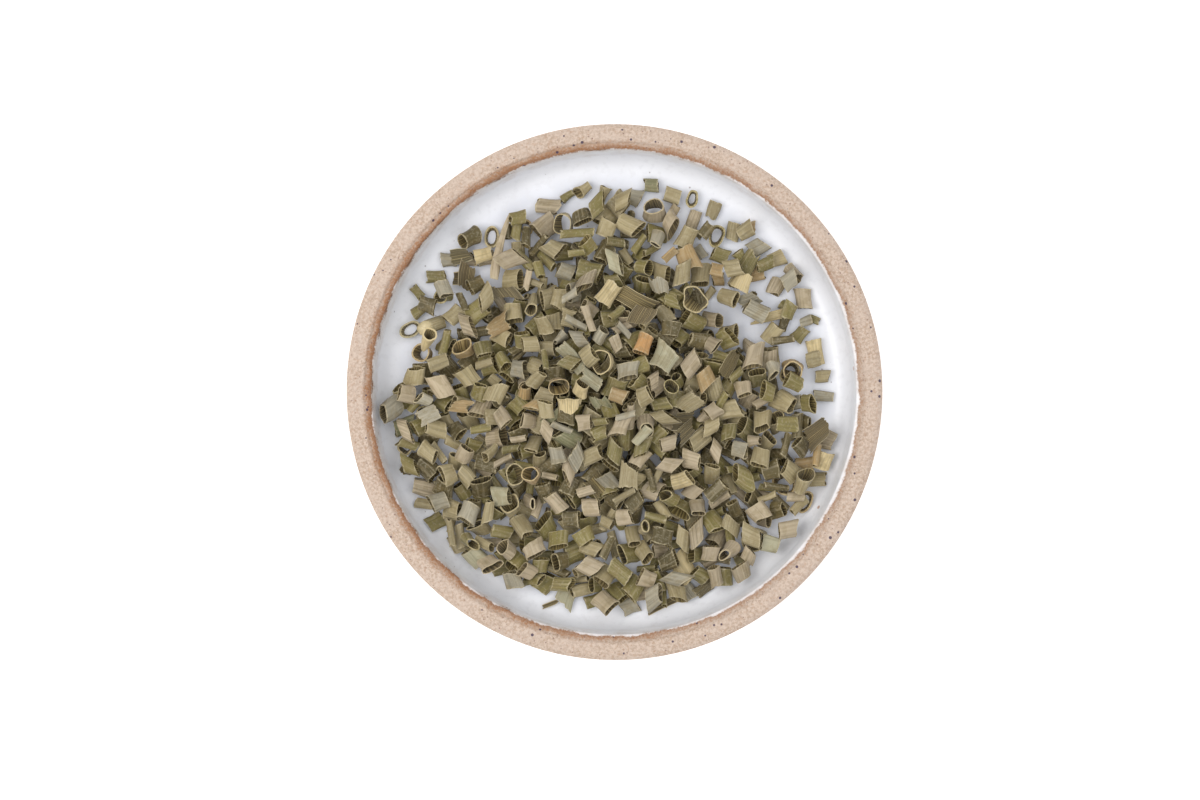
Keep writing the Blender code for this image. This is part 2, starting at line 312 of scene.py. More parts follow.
def dish_outline():
    """Points from the underside's middle up to the rim, and down the inside to the floor's middle."""
    foot = [
        (0.0, FOOT_HEIGHT),
        (FOOT_INNER_RADIUS - FOOT_EDGE, FOOT_HEIGHT),
        (FOOT_INNER_RADIUS, 0.0),
        (FOOT_OUTER_RADIUS, 0.0),
        (FOOT_OUTER_RADIUS + FOOT_EDGE, FOOT_EDGE),
        (FOOT_OUTER_RADIUS + FOOT_EDGE, FOOT_HEIGHT),
    ]
    belly = arc((BELLY_RADIUS - BELLY_ROUND, FOOT_HEIGHT + BELLY_ROUND), BELLY_ROUND, -90, -4)
    rim = arc((RIM_RADIUS - RIM_OUTER_ROUND, RIM_HEIGHT - RIM_OUTER_ROUND), RIM_OUTER_ROUND, 0, 90)
    inner_rim = arc(RIM_INNER_CENTRE, RIM_INNER_ROUND, 90, 170)
    glaze_edge = [(GLAZE_EDGE_RADIUS, GLAZE_EDGE_HEIGHT)]
    below_edge = [(COVE_OUTER_RADIUS + 0.1, GLAZE_EDGE_HEIGHT - FINE_BELOW_EDGE)]
    cove = arc((COVE_OUTER_RADIUS - COVE_ROUND, FLOOR_HEIGHT + COVE_ROUND), COVE_ROUND, 0, -90)
    outside = even_steps(np.concatenate([foot, belly, rim]), COARSE_STEP)
    edge = even_steps(np.concatenate([rim[-1:], inner_rim, glaze_edge]), FINE_STEP)
    wall = even_steps(np.concatenate([edge[-1:], below_edge]), FINE_STEP)
    inside = even_steps(np.concatenate([wall[-1:], cove, [(0.0, FLOOR_HEIGHT)]]), COARSE_STEP)
    return np.concatenate([outside, edge[1:], wall[1:], inside[1:]])


# %% Spin the outline into a surface
DISH_SIDES = 320
FIRE_TOWARDS = (-1.0, 0.25)
FIRE_SHIFT = 14.0
FIRE_REACH = 60.0
GLAZE_EDGE_SHIFT = 0.4
WANDER = 0.05
RING_DEPTH = 0.06
RING_PACE = 2.1
EDGE_WANDER = 0.08
RIM_DIP = 0.08


def ripple(angle, seed, waves, strength):
    """A closed wavy line round the dish: a sum of a few sine waves, each with its own phase."""
    phases = np.random.default_rng(seed).uniform(0, math.tau, len(waves))
    return sum(strength / count**0.5 * np.sin(count * angle + phase) for count, phase in zip(waves, phases))


def smooth_step(share):
    """The smooth step, which leaves 0 and reaches 1 without a kink."""
    return share * share * (3 - 2 * share)


def fired_side(x, y):
    """1 on the side that faced the fire, 0 on the far side, and a smooth step between."""
    towards = (FIRE_TOWARDS[0] * x + FIRE_TOWARDS[1] * y + FIRE_SHIFT) / FIRE_REACH
    return smooth_step(np.clip(towards, -1, 1) / 2 + 0.5)


def spin_dish(outline):
    """Carries the outline round the axis, with slow ripples, throwing rings and the glaze's raised edge.

    Inside that edge, which lies lower on the fired side, the surface stands proud by the glaze.
    """
    angle = np.arange(DISH_SIDES) / DISH_SIDES * math.tau
    radius = outline[1:-1, 0][:, None]
    height = outline[1:-1, 1][:, None]
    slow = ripple(angle, 1, (2, 3, 5), WANDER)[None, :] * np.clip(radius / RIM_RADIUS, 0, 1)
    outer = (radius > BELLY_RADIUS - 1) & (height > INSIDE_ABOVE) & (height < RIM_HEIGHT - 2)
    rings = np.where(outer, RING_DEPTH * np.sin(height * RING_PACE) - RING_DEPTH, 0.0)
    fired = fired_side(GLAZE_EDGE_RADIUS * np.cos(angle), GLAZE_EDGE_RADIUS * np.sin(angle))[None, :]
    edge_ripple = ripple(angle, 2, (3, 7, 13), EDGE_WANDER)[None, :]
    glaze_edge = GLAZE_EDGE_RADIUS + GLAZE_EDGE_SHIFT * (1 - fired) + edge_ripple
    glaze = smooth_step(np.clip((glaze_edge - radius) / GLAZE_SWELL, 0, 1) * (height > INSIDE_ABOVE))
    on_wall = np.clip((radius - (COVE_OUTER_RADIUS - COVE_ROUND)) / COVE_ROUND, 0, 1)
    spread = radius + slow * (outer | (height > RIM_HEIGHT - 3)) + rings - glaze * GLAZE_THICKNESS * on_wall
    rim_ripple = ripple(angle, 3, (2, 5, 9, 17), 0.5)[None, :]
    raised = height + glaze * GLAZE_THICKNESS * (1 - on_wall)
    raised = raised - RIM_DIP * (height > RIM_HEIGHT - 0.4) * (1 + rim_ripple)
    raised = np.maximum(raised, 0.0)
    points = np.stack([spread * np.cos(angle), spread * np.sin(angle), raised + 0 * angle], axis=-1)
    poles = np.array([[0, 0, outline[0, 1]], [0, 0, outline[-1, 1] + GLAZE_THICKNESS]])
    return points, poles


def build_dish(finish):
    """The dish's mesh: the spun grid, and a fan of triangles round the middle of each side."""
    points, poles = spin_dish(dish_outline())
    rows = len(points)
    side = np.arange(DISH_SIDES)
    after = (side + 1) % DISH_SIDES
    under_pole = rows * DISH_SIDES
    last_row = (rows - 1) * DISH_SIDES
    under_fan = np.stack([np.full(DISH_SIDES, under_pole), after, side], axis=-1)
    floor_fan = np.stack([np.full(DISH_SIDES, under_pole + 1), last_row + side, last_row + after], axis=-1)
    quads = grid_quads(rows, DISH_SIDES, False, True)[:, ::-1]
    all_points = np.concatenate([points.reshape(-1, 3), poles]) * MM
    made = mesh_object("dish", all_points, quads, np.concatenate([under_fan, floor_fan]), finish)
    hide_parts("stoneware_dish")
    return made


print("outline has", len(dish_outline()), "points")

# %% [markdown]
# ## Stoneware: clay, toast and glaze
#
# The distance from the axis parts three finishes: sandy clay with iron specks, an uneven toasted
# line along the glaze's edge, and a bluish white glaze with a soft shine and a few small specks.
# On the left the toasted line is wider and darker, partly kiln flashing and partly painted shade, and
# a dark line of painted shade runs along the glaze's edge. The glaze is painted whiter over the cove
# and the wall, which lightens their shade.


# %% Mix the stoneware finish
def scatter_specks(finish, place, spacing, size, seed):
    """Dots: 1 inside a ball round each point of a loose grid, in sizes up to the given radius."""
    cells = {"Vector": finish.shift(place, (seed, seed * 0.7, seed * 0.3)), "Scale": 1.0 / spacing}
    distance = finish.node("TexVoronoi", {}, cells, output=0)
    chance = finish.node("TexVoronoi", {}, cells, output=1)
    lot = finish.node("SeparateColor", {}, {"Color": chance}, output=0)
    reach = lot.ramp(0.35, 1.1) * (size / spacing)
    return (reach - distance).ramp(0.0, 0.08 / spacing)


def stoneware_finish():
    """The one material of the dish, with clay, toasted line and glaze told apart by the radius."""
    finish = Finish("speckled_stoneware", Specular_IOR_Level=0.5)
    where = finish.node("TexCoord", {}, {}, output=3)
    place = finish.node("VectorMath", {"operation": "SCALE"}, {0: where, "Scale": 1.0 / MM})
    across, along, height = (finish.part(place, axis) for axis in range(3))
    radius = (across * across + along * along).math("SQRT")

    wander = finish.noise(place, 0.30, detail=4.0) - 0.5
    fray = finish.noise(place, 2.4) - 0.5
    inside = height.ramp(INSIDE_ABOVE - 0.5, INSIDE_ABOVE + 0.5)
    fired = (across * FIRE_TOWARDS[0] + along * FIRE_TOWARDS[1] + FIRE_SHIFT).ramp(-FIRE_REACH, FIRE_REACH)
    glaze_edge = GLAZE_EDGE_RADIUS + (1.0 - fired) * GLAZE_EDGE_SHIFT + wander * 1.3 + fray * 0.5
    glazed = (glaze_edge - radius).ramp(-0.12, 0.16) * inside

    sand = finish.noise(place, 1.9, detail=4.0, roughness=0.75)
    patches = finish.noise(place, 0.18, detail=2.0)
    grit = finish.noise(place, 1.7, detail=2.0)
    crumbs = scatter_specks(finish, place, 0.85, 0.26, 5.0)
    # Towards the fired side, the left, the toasted line grows wider and fuller: partly kiln flashing, partly
    # painted shade of the steep inner edge, which faces away from the key light there.
    toast_width = 0.55 + fired * 0.75 + wander * 2.2 + fray * 1.4
    depth = toast_width + GLAZE_EDGE_RADIUS - radius
    mottle = finish.noise(place, 2.6, detail=4.0, roughness=0.65)
    toast = depth.ramp(-0.7, 0.9) * (mottle.ramp(0.42, 0.58) * (1.0 - fired * 0.45) + fired * 0.45)
    # Painted shade: a dark line along the glaze's edge, where the steep inner edge is in shade, deepest on the
    # left, away from the key light.
    painted_edge_shade = (glaze_edge - radius + 0.6).ramp(-0.5, 0.5)
    iron = scatter_specks(finish, place, 1.6, 0.37, 3.0)
    dots = scatter_specks(finish, place, 0.75, 0.21, 11.0)
    clay = finish.coats(
        (0.43, 0.318, 0.24),
        ((0.61, 0.49, 0.4), sand.ramp(0.38, 0.60)),
        ((0.58, 0.47, 0.395), patches.ramp(0.40, 0.60) * 0.35),
        ((0.45, 0.29, 0.195), grit.ramp(0.54, 0.66) * 0.45),
        ((0.37, 0.215, 0.14), crumbs * 0.5),
        ((0.42, 0.2, 0.088), toast * inside),
        ((0.2, 0.09, 0.04), painted_edge_shade * inside * (0.25 + fired * 0.45)),
        ((0.2, 0.115, 0.1), dots * 0.7),
        ((0.06, 0.04, 0.075), iron * 0.92),
    )

    pool = finish.noise(place, 0.12)
    milk = finish.noise(place, 0.8, detail=5.0)
    thin = (radius - glaze_edge + 0.8).ramp(0.0, 0.8)
    freckles = scatter_specks(finish, place, 2.0, 0.26, 23.0)
    rust = scatter_specks(finish, place, 6.0, 0.55, 37.0)
    glaze = finish.coats(
        (0.7, 0.718, 0.78),
        ((0.77, 0.788, 0.85), pool.ramp(0.4, 0.6)),
        # Painted light: the glaze is painted whiter from the cove outward, which lightens the shade in the
        # cove and on the wall.
        ((0.9, 0.905, 0.935), radius.ramp(40.5, 44.5) * 0.8),
        ((0.76, 0.765, 0.8), milk.ramp(0.52, 0.66) * 0.4),
        ((0.6, 0.5, 0.43), thin * 0.6),
        ((0.3, 0.25, 0.26), freckles * 0.6),
        ((0.5, 0.27, 0.16), rust * 0.8),
    )

    finish.feed(finish.shader.inputs["Base Color"], finish.coats(clay, (glaze, glazed)))
    finish.feed(finish.shader.inputs["Roughness"], 0.85 - glazed * 0.55)
    grain = (sand * 0.7 + grit * 0.5 - iron * 0.5 - crumbs * 0.3) * (1.0 - glazed)
    orange_peel = finish.noise(place, 0.45, detail=1.0)
    finish.bump(grain * 0.10 + orange_peel * glazed * 0.05 - freckles * glazed * 0.02)
    return finish


dish = build_dish(stoneware_finish())
print("dish has", len(dish.data.polygons), "faces")

# %% [markdown]
# ## A dried chive leaf, cut
#
# A chive leaf is a tube with ribs inside. Chopped and dried, some cuttings stay round, more are
# pressed flat, and some are slanted or split. All are one surface of two parameters, which runs
# along the skin, over the cut edge and back along the lining while it goes round the leaf. What
# differs are arrays of numbers, so a thousand cuttings are worked out at once.

# %% Describe the kinds of cutting
FIELDS = "width length flat power dent slant fray bend flare tilt wall".split()
LOWEST_AND_HIGHEST = """
pressed 2.7 4.2  2.8 4.6  .32 .66  1.9 3.0  0 .3  -.26 .26  .05 .18  -.09 .09  -.08 .14  14 54  .13 .20
round   2.2 4.6  2.2 4.6  .62 .98  1.9 2.5  0 .1  -.25 .25  .03 .14  -.06 .06  -.06 .14  14 58  .16 .28
upright 2.3 4.3  2.2 4.0  .62 1.0  1.9 2.4  0 .1  -.35 .35  .03 .16  -.05 .05  -.04 .16  40 74  .18 .32
slanted 2.6 4.1  2.4 4.4  .40 .85  1.8 2.8  0 .2  .45 1.0   .04 .16  -.07 .07  -.08 .12  0 38   .13 .22
thin    1.2 2.1  3.0 5.4  .50 .90  1.8 2.6  0 .2  -.4 .4    .02 .12  -.08 .08  -.10 .10  0 30   .12 .18
split   3.0 5.0  2.6 5.0  .45 .85  1.8 2.6  0 .1  -.4 .4    .06 .24  -.10 .10  -.10 .14  0 45   .12 .20
shred   3.2 5.2  2.4 5.6  .25 .60  1.7 2.4  0 .3  -.6 .6    .20 .50  -.14 .14  -.15 .15  0 45   .08 .13
"""
OPEN_SWEEPS = {"split": (0.55, 0.85), "shred": (0.22, 0.5)}


def read_ranges(table):
    """For each kind, the lowest and the highest value of every field, from a table in the fields' order."""
    rows = [line.split() for line in table.strip().splitlines()]
    return {kind: dict(zip(FIELDS, np.array(numbers, float).reshape(-1, 2))) for kind, *numbers in rows}


SHAPE_RANGES = read_ranges(LOWEST_AND_HIGHEST)


def draw_shapes(lots, kinds):
    """Numbers for one cutting of each listed kind, drawn evenly from the kind's ranges."""
    shapes = {}
    for field in FIELDS:
        low, high = np.array([SHAPE_RANGES[kind][field] for kind in kinds]).T
        shapes[field] = low + (high - low) * lots.random(len(kinds))
    low, high = np.array([OPEN_SWEEPS.get(kind, (1.0, 1.0)) for kind in kinds], float).T
    shapes["sweep"] = low + (high - low) * lots.random(len(kinds))
    shapes["height"] = shapes["flat"] * shapes["width"]
    shapes["tapers"] = lots.uniform(-1, 1, (len(kinds), 2)) * (0.12, 0.40)
    shapes["twist"] = lots.normal(0, 0.12, len(kinds))
    shapes["waves"] = lots.normal(0, 1, (len(kinds), 3)) * (0.045, 0.04, 0.03)
    shapes["phases"] = lots.uniform(0, math.tau, (len(kinds), 3))
    shapes["second_slant"] = shapes["slant"] + lots.normal(0, 0.16, len(kinds))
    shapes["slant_turn"] = lots.uniform(-0.6, 0.6, len(kinds))
    return shapes


print("kinds of cutting:", ", ".join(SHAPE_RANGES))


# %% Work out the cuttings' surfaces
def cutting_points(lots, shapes, around, rows):
    """Points of many cuttings, as an array of (cutting, row, column, xyz) in millimetres.

    The grid has `around` points round each cutting, and `rows` from one end to the other.

    Round the leaf: a superellipse, y = w/2 cos(t)^(2/p) and z = h/2 sin(t)^(2/p), made uneven by
    waves of 2, 3 and 5 periods and dented from above by a bell curve. Along it the section tapers,
    flares at both ends and twists, and x runs from end to end, sheared by the slant and bent as a
    parabola. The ends are frayed by waves of 1, 2 and 3 periods and by chance. The rows go along the
    skin and back along the lining, whose section is drawn in by the wall.
    """
    closed = bool(shapes["sweep"][0] == 1.0)
    count = len(shapes["width"])
    turn = np.arange(around) / (around if closed else around - 1) - 0.5
    t = turn[None, :] * shapes["sweep"][:, None] * math.tau - math.pi / 2
    power = 2.0 / shapes["power"][:, None]
    wave = 1.0
    for number, periods in enumerate((2, 3, 5)):
        swing = shapes["waves"][:, number, None]
        wave = wave + swing * np.cos(periods * t + shapes["phases"][:, number, None])
    across = np.sign(np.cos(t)) * np.abs(np.cos(t)) ** power * wave
    upward = np.sign(np.sin(t)) * np.abs(np.sin(t)) ** power * wave
    dent = shapes["dent"][:, None] * np.exp(-((across / 0.5) ** 2)) * (upward > 0)

    v = np.concatenate([np.linspace(0, 1, rows), np.linspace(1, 0, rows)])[None, :]
    drawn_in = np.repeat([0.0, 1.0], rows)[None, :] * shapes["wall"][:, None]
    first_taper, second_taper = shapes["tapers"].T[:, :, None]
    flare = shapes["flare"][:, None] * (2 * v - 1) ** 2
    half_width = shapes["width"][:, None] / 2 * (1 + first_taper * (2 * v - 1) + flare) - drawn_in
    half_height = shapes["height"][:, None] / 2 * (1 + second_taper * (2 * v - 1) + flare) - drawn_in
    y = across[:, None, :] * half_width[:, :, None]
    z = (upward * (1 - dent))[:, None, :] * half_height[:, :, None]
    angle = shapes["twist"][:, None, None] * (v[:, :, None] - 0.5)
    y, z = y * np.cos(angle) - z * np.sin(angle), y * np.sin(angle) + z * np.cos(angle)

    slant = shapes["slant"][:, None] * (1 - v) + shapes["second_slant"][:, None] * v
    slant_turn = shapes["slant_turn"][:, None, None]
    shear = slant[:, :, None] * (y * np.cos(slant_turn) + z * np.sin(slant_turn))
    ends = lots.normal(0, 0.35, (2, count, around))
    for periods in (1, 2, 3):
        swing, phase = lots.normal(0, 0.6, (2, count, 1)), lots.uniform(0, math.tau, (2, count, 1))
        ends = ends + swing * np.cos(periods * t[None] + phase)
    ends = ends * shapes["fray"][None, :, None]
    near, far = ends[0][:, None, :], ends[1][:, None, :]
    at_near = (v < 0.01)[:, :, None]
    at_far = (v > 0.99)[:, :, None]
    x = (v - 0.5)[:, :, None] * shapes["length"][:, None, None] + shear + near * at_near + far * at_far
    z = z + shapes["bend"][:, None, None] * x * x
    return np.stack([x, y, z], axis=-1)


def cutting_quads(around, rows, closed):
    """The quads of one cutting; an opened one also gets a strip along each of its two split edges."""
    quads = grid_quads(2 * rows, around, True, closed)
    if closed:
        return quads
    outer = np.arange(rows - 1)
    strips = []
    for column, order in ((0, 1), (around - 1, -1)):
        corners = (outer, 2 * rows - 1 - outer, 2 * rows - 2 - outer, outer + 1)
        strips.append(np.stack(corners, axis=-1)[:, ::order] * around + column)
    return np.concatenate([quads, *strips])


lots = np.random.default_rng(4)
sample = cutting_points(lots, draw_shapes(lots, ["pressed"] * 3), 16, 3)
print("three cuttings are an array of", sample.shape)

# %% [markdown]
# ## The colours of dried chives
#
# Most cuttings are grey-taupe or khaki, some are olive, a few straw. The finish takes each one's
# colour from the mesh and adds fine ribs, a darker, deeply ribbed lining, and a pale line at the cut.
# The lining is darker partly by its own colour and partly by painted shade of the bore, and its
# grooves carry painted shade and its ridges painted highlight.

# %% Mix the leaf finish
LEAF_COLOURS = {
    "taupe": (0.395, 0.318, 0.208),
    "grey": (0.305, 0.275, 0.200),
    "khaki": (0.322, 0.262, 0.136),
    "olive": (0.188, 0.155, 0.044),
    "dark": (0.086, 0.064, 0.016),
    "green": (0.205, 0.198, 0.098),
    "sage": (0.355, 0.332, 0.215),
    "tan": (0.360, 0.240, 0.100),
    "straw": (0.560, 0.445, 0.230),
    "orange": (0.480, 0.255, 0.090),
}


def leaf_finish():
    """The one material of all the cuttings, driven by what their meshes store."""
    finish = Finish("dried_chive_leaf", Specular_IOR_Level=0.5, Sheen_Weight=0.12, Sheen_Roughness=0.5)
    tint = finish.read("tint", output=0)
    lining, cut, edge, chance = (finish.read(name) for name in ("lining", "cut", "edge", "chance"))
    leaf_map = finish.node("UVMap", {"uv_map": "leaf"}, {})
    strand = finish.node("Mapping", {}, {"Vector": leaf_map, "Scale": (1.0, 0.045, 1.0)})
    offset = finish.node("CombineXYZ", {}, {"Z": chance * 90.0})
    strand = finish.shift(strand, offset)
    patch = finish.shift(leaf_map, offset)

    drift = finish.noise(strand, 0.9, detail=2.0)
    phase = finish.part(leaf_map, 0) * (chance * 5.0 + 10.5) + drift * 18.0
    waves = phase.math("SINE") * 0.5 + 0.5
    ribs = waves * (chance * 7.0).math("FRACT").ramp(0.25, 0.95)
    streaks = finish.noise(strand, 2.6, detail=2.0, roughness=0.6)
    clouds = finish.noise(patch, 0.55)
    flecks = finish.noise(patch, 2.4)

    skin = finish.coats(
        tint,
        ((0.085, 0.07, 0.03), ribs.ramp(0.35, 1.0) * 0.30),
        ((0.085, 0.07, 0.03), streaks.ramp(0.50, 0.66) * 0.30),
        ((0.56, 0.48, 0.33), streaks.ramp(0.49, 0.36) * 0.20),
        ((0.215, 0.158, 0.062), clouds.ramp(0.50, 0.62) * 0.34),
        ((0.45, 0.4, 0.29), flecks.ramp(0.53, 0.66) * 0.24),
        ((0.54, 0.46, 0.29), (edge + flecks * 0.6).ramp(1.16, 1.30) * 0.5),
    )
    # The lining: partly the leaf's inner colour, partly painted shade in the bore, with painted shade in its
    # rib grooves and painted highlight on its ridges.
    lining_colour_and_shade = finish.coats(
        tint,
        ((0.145, 0.096, 0.018), 0.70),
        ((0.03, 0.022, 0.007), waves.ramp(0.30, 1.0) * 0.58),
        ((0.44, 0.36, 0.17), waves.ramp(0.28, 0.02) * 0.30),
    )
    cream = finish.coats(tint, ((0.56, 0.465, 0.27), 0.28 + flecks.ramp(0.42, 0.58) * 0.42))

    finish.feed(finish.shader.inputs["Base Color"], finish.coats(skin, (lining_colour_and_shade, lining), (cream, cut)))
    finish.feed(finish.shader.inputs["Roughness"], 0.48 + flecks * 0.2 + lining * 0.15 + cut * 0.2)
    relief = (ribs * -0.05 + streaks * 0.05) * (1.0 - lining) - waves * 0.14 * lining + clouds * 0.16
    finish.bump(relief)
    return finish


LEAF = leaf_finish()
print("leaf colours:", ", ".join(LEAF_COLOURS))

# %% Join cuttings into one mesh and store what the finish reads
SHARP_ANGLE = math.radians(62)


def group_of(points, shapes, tints, chances, closed=True):
    """Cuttings with the same grid, and what their mesh stores."""
    return {"points": points, "shapes": shapes, "tints": tints, "chances": chances, "closed": closed}


def joined(arrays):
    """Several arrays as one, in the single precision that a mesh stores."""
    return np.concatenate(arrays).astype(np.float32)


def leaf_mesh(name, groups):
    """One object of several groups of cuttings.

    Faces store whether they are lining or cut, and points their tint, chance number and nearness to
    an end. The map holds millimetres round the leaf and along it.
    """
    points, quads, linings, cuts, corners, tints, chances, edges = ([] for _ in range(8))
    base = 0
    for group in groups:
        grid = group["points"]
        count, double_rows, around, _ = grid.shape
        rows = double_rows // 2
        piece = cutting_quads(around, rows, group["closed"])
        per_piece = double_rows * around
        quads.append((piece[None] + (np.arange(count) * per_piece)[:, None, None] + base).reshape(-1, 4))
        points.append(grid.reshape(-1, 3))
        base += count * per_piece

        row_of, column_of = np.divmod(piece, around)
        skin = (row_of < rows).all(axis=1)
        lining = (row_of >= rows).all(axis=1)
        linings.append(np.tile(lining, count))
        cuts.append(np.tile(~(skin | lining), count))

        wrapped = (np.ptp(column_of, axis=1) > 1)[:, None] & (column_of == 0)
        share = np.where(wrapped, around, column_of) / around
        v = np.concatenate([np.linspace(0, 1, rows), np.linspace(1, 0, rows)])
        shapes = group["shapes"]
        girth = (shapes["width"] + shapes["height"]) * 1.5
        along = v[row_of][None] * shapes["length"][:, None, None]
        corners.append(np.stack([share[None] * girth[:, None, None], along], axis=-1).reshape(-1, 2))
        tint = group["tints"].reshape(count, -1, 3)
        tints.append(np.broadcast_to(tint, (count, per_piece, 3)).reshape(-1, 3))
        chances.append(np.repeat(group["chances"], per_piece))
        edges.append(np.tile(np.repeat(np.abs(2 * v - 1), around), count))
    made = mesh_object(name, np.concatenate(points) * MM, np.concatenate(quads), NO_TRIANGLES, LEAF)
    mesh = made.data
    mesh.set_sharp_from_angle(angle=SHARP_ANGLE)
    mesh.uv_layers.new(name="leaf").uv.foreach_set("vector", joined(corners).ravel())
    tint = np.pad(joined(tints), ((0, 0), (0, 1)), constant_values=1)
    mesh.attributes.new("tint", "FLOAT_COLOR", "POINT").data.foreach_set("color", tint.ravel())
    for domain, stored in (
        ("FACE", {"lining": linings, "cut": cuts}),
        ("POINT", {"chance": chances, "edge": edges}),
    ):
        for field, arrays in stored.items():
            mesh.attributes.new(field, "FLOAT", domain).data.foreach_set("value", joined(arrays))
    return made


print("leaf meshes store lining, cut, edge, chance and tint")

# %% [markdown]
# ## The cuttings that lie apart
#
# Some cuttings lie alone on the glaze, each given by a plain solid. All points of a plain tube are
# on its two ends, so along its length every point is equally far from the middle. That is how the
# length is told from the width, and the pose is read.


# %% Read a cutting's pose from its plain solid
def vertices_of(mesh):
    """A mesh's points, as rows of x, y and z in metres."""
    raw = np.zeros(len(mesh.vertices) * 3, np.float32)
    mesh.vertices.foreach_get("co", raw)
    return raw.reshape(-1, 3)


def principal(name):
    """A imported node's middle in millimetres, its points about their mean, and their principal directions."""
    raw = vertices_of(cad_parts[name].data)
    points = np.unique(np.round(raw.astype(float) / MM, 3), axis=0)
    spread = points - points.mean(0)
    return (points.max(0) + points.min(0)) / 2, spread, np.linalg.eigh(spread.T @ spread)[1].T


def node_pose(name):
    """Middle, axes (length, width, height as rows) and size of a plain cutting.

    Along the length the fourth moment is the square of the second; the wider of the others is the width.
    """
    middle, spread, directions = principal(name)
    along = spread @ directions.T
    flatness = (along**4).mean(0) / (along**2).mean(0) ** 2
    size = along.max(0) - along.min(0)
    length = int(np.argmin(flatness))
    width, height = sorted((axis for axis in range(3) if axis != length), key=lambda axis: -size[axis])
    axes = directions[[length, width, height]]
    if axes[2, 2] < 0:
        axes[2] *= -1
    axes[0] *= np.sign(np.dot(np.cross(axes[1], axes[2]), axes[0]))
    return middle, axes, size[[length, width, height]]


loose = sorted(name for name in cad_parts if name.startswith(("pressed", "round_", "standing")))
print(len(loose), "plain tubes lie apart; the first is", node_pose(loose[0])[2].round(2), "mm")

# %% Give each plain tube its fine surface
LOOSE_TINTS = {
    "pressed_tube": "grey green khaki khaki khaki tan grey grey olive khaki taupe taupe olive straw khaki "
    "khaki grey olive tan khaki taupe taupe khaki taupe grey taupe olive olive",
    "round_tube": "khaki olive khaki dark dark olive dark olive taupe olive dark olive",
    "standing_ring": "tan khaki olive sage tan khaki olive olive khaki tan tan",
}
RING_WALL = 0.34
RING_TAPER = 0.14
TUBE_GRID = (28, 5)


def set_by_hand(shapes, **values):
    """Replaces some of the numbers that were drawn for a single cutting."""
    shapes.update({field: np.atleast_1d(value) for field, value in values.items()})


def loose_tint(lots, colour):
    """A leaf colour, a little lighter or darker by chance, for a single cutting."""
    return np.array([LEAF_COLOURS[colour]]) * lots.normal(1.0, 0.06)


def dress_tube(lots, name, colour):
    """Replaces a plain tube by a fine one of the same size in the same pose."""
    middle, axes, (length, width, height) = node_pose(name)
    shapes = draw_shapes(lots, ["pressed" if name.startswith("pressed") else "round"])
    set_by_hand(shapes, length=length - 0.1, width=width, height=height)
    if name.startswith("standing"):
        axes = axes * np.sign([[axes[0, 2]], [1.0], [axes[0, 2]]])
        set_by_hand(shapes, slant=0.0, second_slant=lots.normal(0, 0.15, 1), power=2.1, wall=RING_WALL)
        set_by_hand(shapes, width=width / (1 + RING_TAPER), height=height / (1 + RING_TAPER))
        shapes["tapers"] = np.full((1, 2), RING_TAPER)
    points = cutting_points(lots, shapes, *TUBE_GRID) @ axes + middle
    group = group_of(points, shapes, loose_tint(lots, colour), lots.random(1))
    made = leaf_mesh(name.replace("tube", "cutting").replace("ring", "cutting"), [group])
    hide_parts(name)


lots = np.random.default_rng(21)
for family, colours in LOOSE_TINTS.items():
    for number, colour in enumerate(colours.split(), start=1):
        dress_tube(lots, f"{family}_{number:02d}", colour)
print("dressed", len(loose), "tubes")

# %% [markdown]
# ## Slivers, the trough, the leaf tip and the stalk
#
# Slivers and the trough are leaf that has split open, so they are the same surface with a gap. The
# leaf tip is the rolled, pointed end of a leaf. The stalk isn't hollow: its cut shows pale pith.

# %% Open the strips
STRIP_GRID = (20, 5)
NARROW_SWEEP = 0.34
HALF_SWEEP = 0.5
THINNEST_BULGE = 0.5


def dress_strip(lots, name, colour, kind, sweep):
    """Replaces a plain strip by an opened cutting, hollow side up, of the same size and pose."""
    middle, axes, (length, width, height) = node_pose(name)
    shapes = draw_shapes(lots, [kind])
    set_by_hand(shapes, length=length, width=width / math.sin(min(sweep, HALF_SWEEP) * math.pi))
    set_by_hand(shapes, height=2 * max(height, THINNEST_BULGE), sweep=sweep, power=2.0, bend=0.02, slant=0.2)
    points = cutting_points(lots, shapes, *STRIP_GRID)
    points = points - (points.reshape(-1, 3).max(0) + points.reshape(-1, 3).min(0)) / 2
    group = group_of(points @ axes + middle, shapes, loose_tint(lots, colour), lots.random(1), closed=False)
    made = leaf_mesh(name + "_leaf", [group])
    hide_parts(name)


lots = np.random.default_rng(5)
for number, colour in enumerate(("dark", "khaki", "straw", "straw"), start=1):
    dress_strip(lots, f"sliver_{number:02d}", colour, "shred", NARROW_SWEEP)
dress_strip(lots, "split_trough", "taupe", "split", HALF_SWEEP)
print("four slivers and a trough are open leaf")

# %% Roll the leaf tip
TIP_HALF_WIDTH = 0.92
TIP_FLATNESS = 0.42
TIP_BOW = 0.55
TIP_GRID = (24, 15)


def tip_points(length, around, rows):
    """A leaf end: an oval section that widens from a point, bows sideways as a parabola, and is creased."""
    v = np.concatenate([np.linspace(0, 1, rows), np.linspace(1, 0, rows)])[:, None]
    t = np.arange(around)[None, :] / around * math.tau
    half = TIP_HALF_WIDTH * np.clip(1.06 - v, 0.02, 1) ** 0.55 * (0.82 + 0.25 * np.minimum(v * 6, 1))
    half = half - np.repeat([0.0, 0.02], rows)[:, None] * half
    crease = 1 + 0.12 * np.cos(3 * t + 5 * v) + 0.05 * np.cos(7 * t)
    x = (v - 0.5) * length + 0 * t
    y = half * np.cos(t) * crease + TIP_BOW * (1 - (2 * v - 1) ** 2) - 0.3
    z = half * TIP_FLATNESS * np.sin(t) * crease
    return np.stack([x, y, z], axis=-1)[None]


